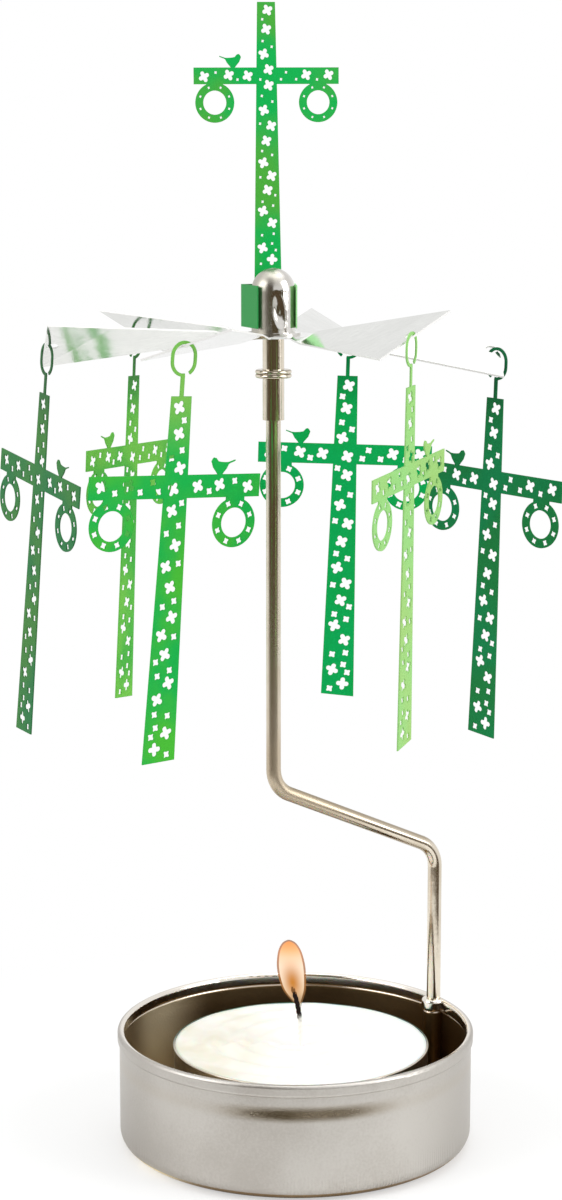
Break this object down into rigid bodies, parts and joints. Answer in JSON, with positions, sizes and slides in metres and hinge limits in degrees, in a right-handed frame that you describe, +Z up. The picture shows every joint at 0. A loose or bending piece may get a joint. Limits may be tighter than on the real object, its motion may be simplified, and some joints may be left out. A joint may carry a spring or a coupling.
{
  "type": "candle carousel",
  "caption": "Rotary candle holder: a metal cup for a tealight, a bent wire post, and a bladed rotor on a needle that carries hanging cross-shaped figures.",
  "frame": {"origin": "centre of the cup's underside, on the table", "axes": "+Z up along the rotor's axis, +Y away from the picture's viewer, +X to the viewer's right"},
  "size_m": [0.0834, 0.0763, 0.1717],
  "materials": {
    "cup_metal": "bright nickel-plated sheet",
    "polished_metal": "polished nickel",
    "needle_steel": "hardened steel",
    "blade_metal": "bright sheet metal",
    "green_metal": "satin green lacquer on thin sheet",
    "can_aluminium": "bright rolled sheet",
    "wax": "soft white wax",
    "wick_cotton": "burnt cotton"
  },
  "bodies": {
    "base": {"cup": "cup_metal", "post_wire": "polished_metal", "ferrule": "polished_metal", "pivot_pin": "needle_steel"},
    "rotor": {"dome_cap": "polished_metal", "rotor_plate": "blade_metal", "top_figure": "green_metal"},
    "tealight": {"tealight_can": "can_aluminium", "tealight_wax": "wax", "wick": "wick_cotton", "wick_tab": "can_aluminium"},
    "figure_1": {"figure_1": "green_metal"},
    "figure_2": {"figure_2": "green_metal"},
    "figure_3": {"figure_3": "green_metal"},
    "figure_4": {"figure_4": "green_metal"},
    "figure_5": {"figure_5": "green_metal"},
    "figure_6": {"figure_6": "green_metal"}
  },
  "joints": [
    {"name": "rotor_spin", "type": "hinge", "parent": "base", "child": "rotor", "pos_m": [-0.00331, -0.00207, 0.1323], "axis": [0, 0, 1], "continuous": true},
    {"name": "figure_1_swing", "type": "hinge", "parent": "rotor", "child": "figure_1", "pos_m": [0.02993, 0.00062, 0.1211], "axis": [-0.0362, 0.875, 0.4827], "range_deg": [-20, 20]},
    {"name": "figure_2_swing", "type": "hinge", "parent": "rotor", "child": "figure_2", "pos_m": [0.0086, 0.02916, 0.12199], "axis": [-0.8109, 0.329, 0.484], "range_deg": [-20, 20]},
    {"name": "figure_3_swing", "type": "hinge", "parent": "rotor", "child": "figure_3", "pos_m": [-0.02508, 0.02332, 0.1225], "axis": [-0.6699, -0.5626, 0.4844], "range_deg": [-20, 20]},
    {"name": "figure_4_swing", "type": "hinge", "parent": "rotor", "child": "figure_4", "pos_m": [-0.03625, -0.00783, 0.12246], "axis": [0.1409, -0.8634, 0.4844], "range_deg": [-20, 20]},
    {"name": "figure_5_swing", "type": "hinge", "parent": "rotor", "child": "figure_5", "pos_m": [-0.01537, -0.03328, 0.12459], "axis": [0.8927, -0.3202, 0.3171], "range_deg": [-20, 12]},
    {"name": "figure_6_swing", "type": "hinge", "parent": "rotor", "child": "figure_6", "pos_m": [0.01577, -0.02951, 0.12557], "axis": [0.7131, 0.5481, 0.4372], "range_deg": [-20, 20]},
    {"name": "tealight_lift", "type": "slide", "parent": "base", "child": "tealight", "axis": [0, 0, 1], "range_m": [0, 0.022]}
  ]
}
